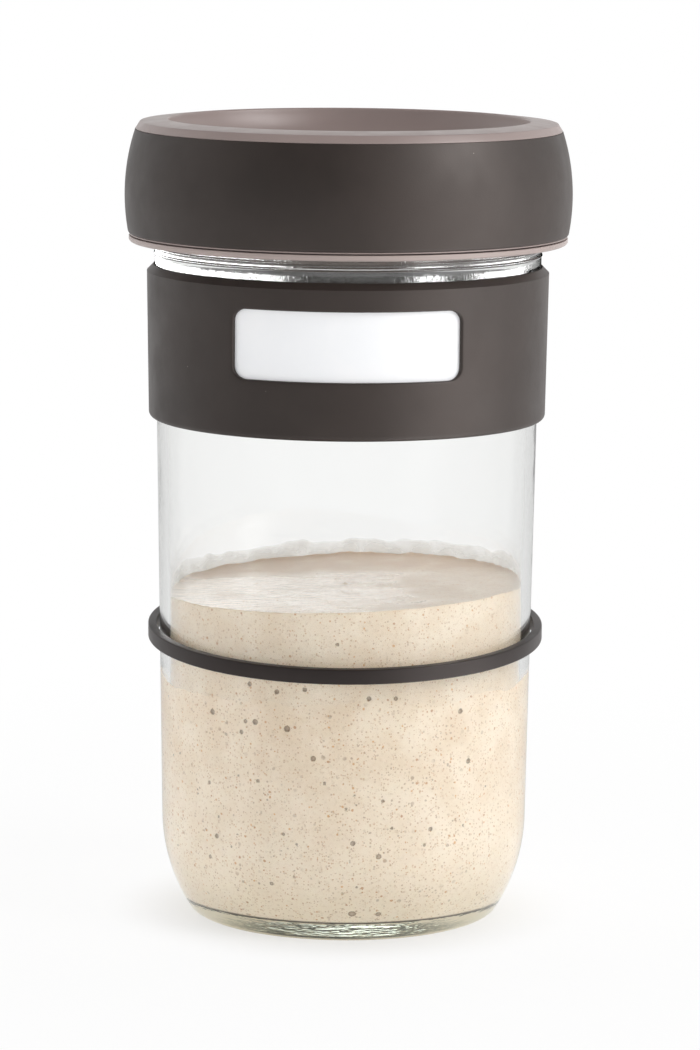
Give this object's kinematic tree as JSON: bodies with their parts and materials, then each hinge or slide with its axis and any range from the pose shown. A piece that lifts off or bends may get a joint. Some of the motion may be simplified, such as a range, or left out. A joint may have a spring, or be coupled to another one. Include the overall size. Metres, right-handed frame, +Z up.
{
  "type": "sourdough starter jar",
  "caption": "Round glass jar of sourdough starter with a recessed push-on lid in a soft grip sleeve, a silicone label band with a window, and a silicone level ring.",
  "frame": {"origin": "middle of the base, on the surface that the jar stands on", "axes": "+Z up the jar's axis, -Y towards the label window, +X to the right of it"},
  "size_m": [0.108, 0.108, 0.1939],
  "materials": {
    "clear_glass": "clear, fire-polished",
    "starter_dough": "moist wholemeal dough with bubbles, seen through glass",
    "dark_silicone": "matte silicone",
    "white_plate": "satin, writable",
    "ring_silicone": "satin silicone",
    "taupe_plastic": "satin polypropylene",
    "seal_silicone": "soft silicone"
  },
  "bodies": {
    "jar": {"glass_jar": "clear_glass", "sourdough_starter": "starter_dough"},
    "band": {"label_band": "dark_silicone", "label_plate": "white_plate"},
    "ring": {"level_ring": "ring_silicone"},
    "lid": {"lid_liner": "taupe_plastic", "lid_cap": "taupe_plastic", "lid_grip_sleeve": "dark_silicone", "lid_seal": "seal_silicone"}
  },
  "joints": [
    {"name": "lid_lift", "type": "slide", "parent": "jar", "child": "lid", "axis": [0, 0, 1], "range_m": [0, 0.07]},
    {"name": "band_turn", "type": "hinge", "parent": "jar", "child": "band", "pos_m": [0, 0, 0.14], "axis": [0, 0, 1], "continuous": true},
    {"name": "ring_slide", "type": "slide", "parent": "jar", "child": "ring", "axis": [0, 0, 1], "range_m": [-0.036, 0.028]}
  ]
}
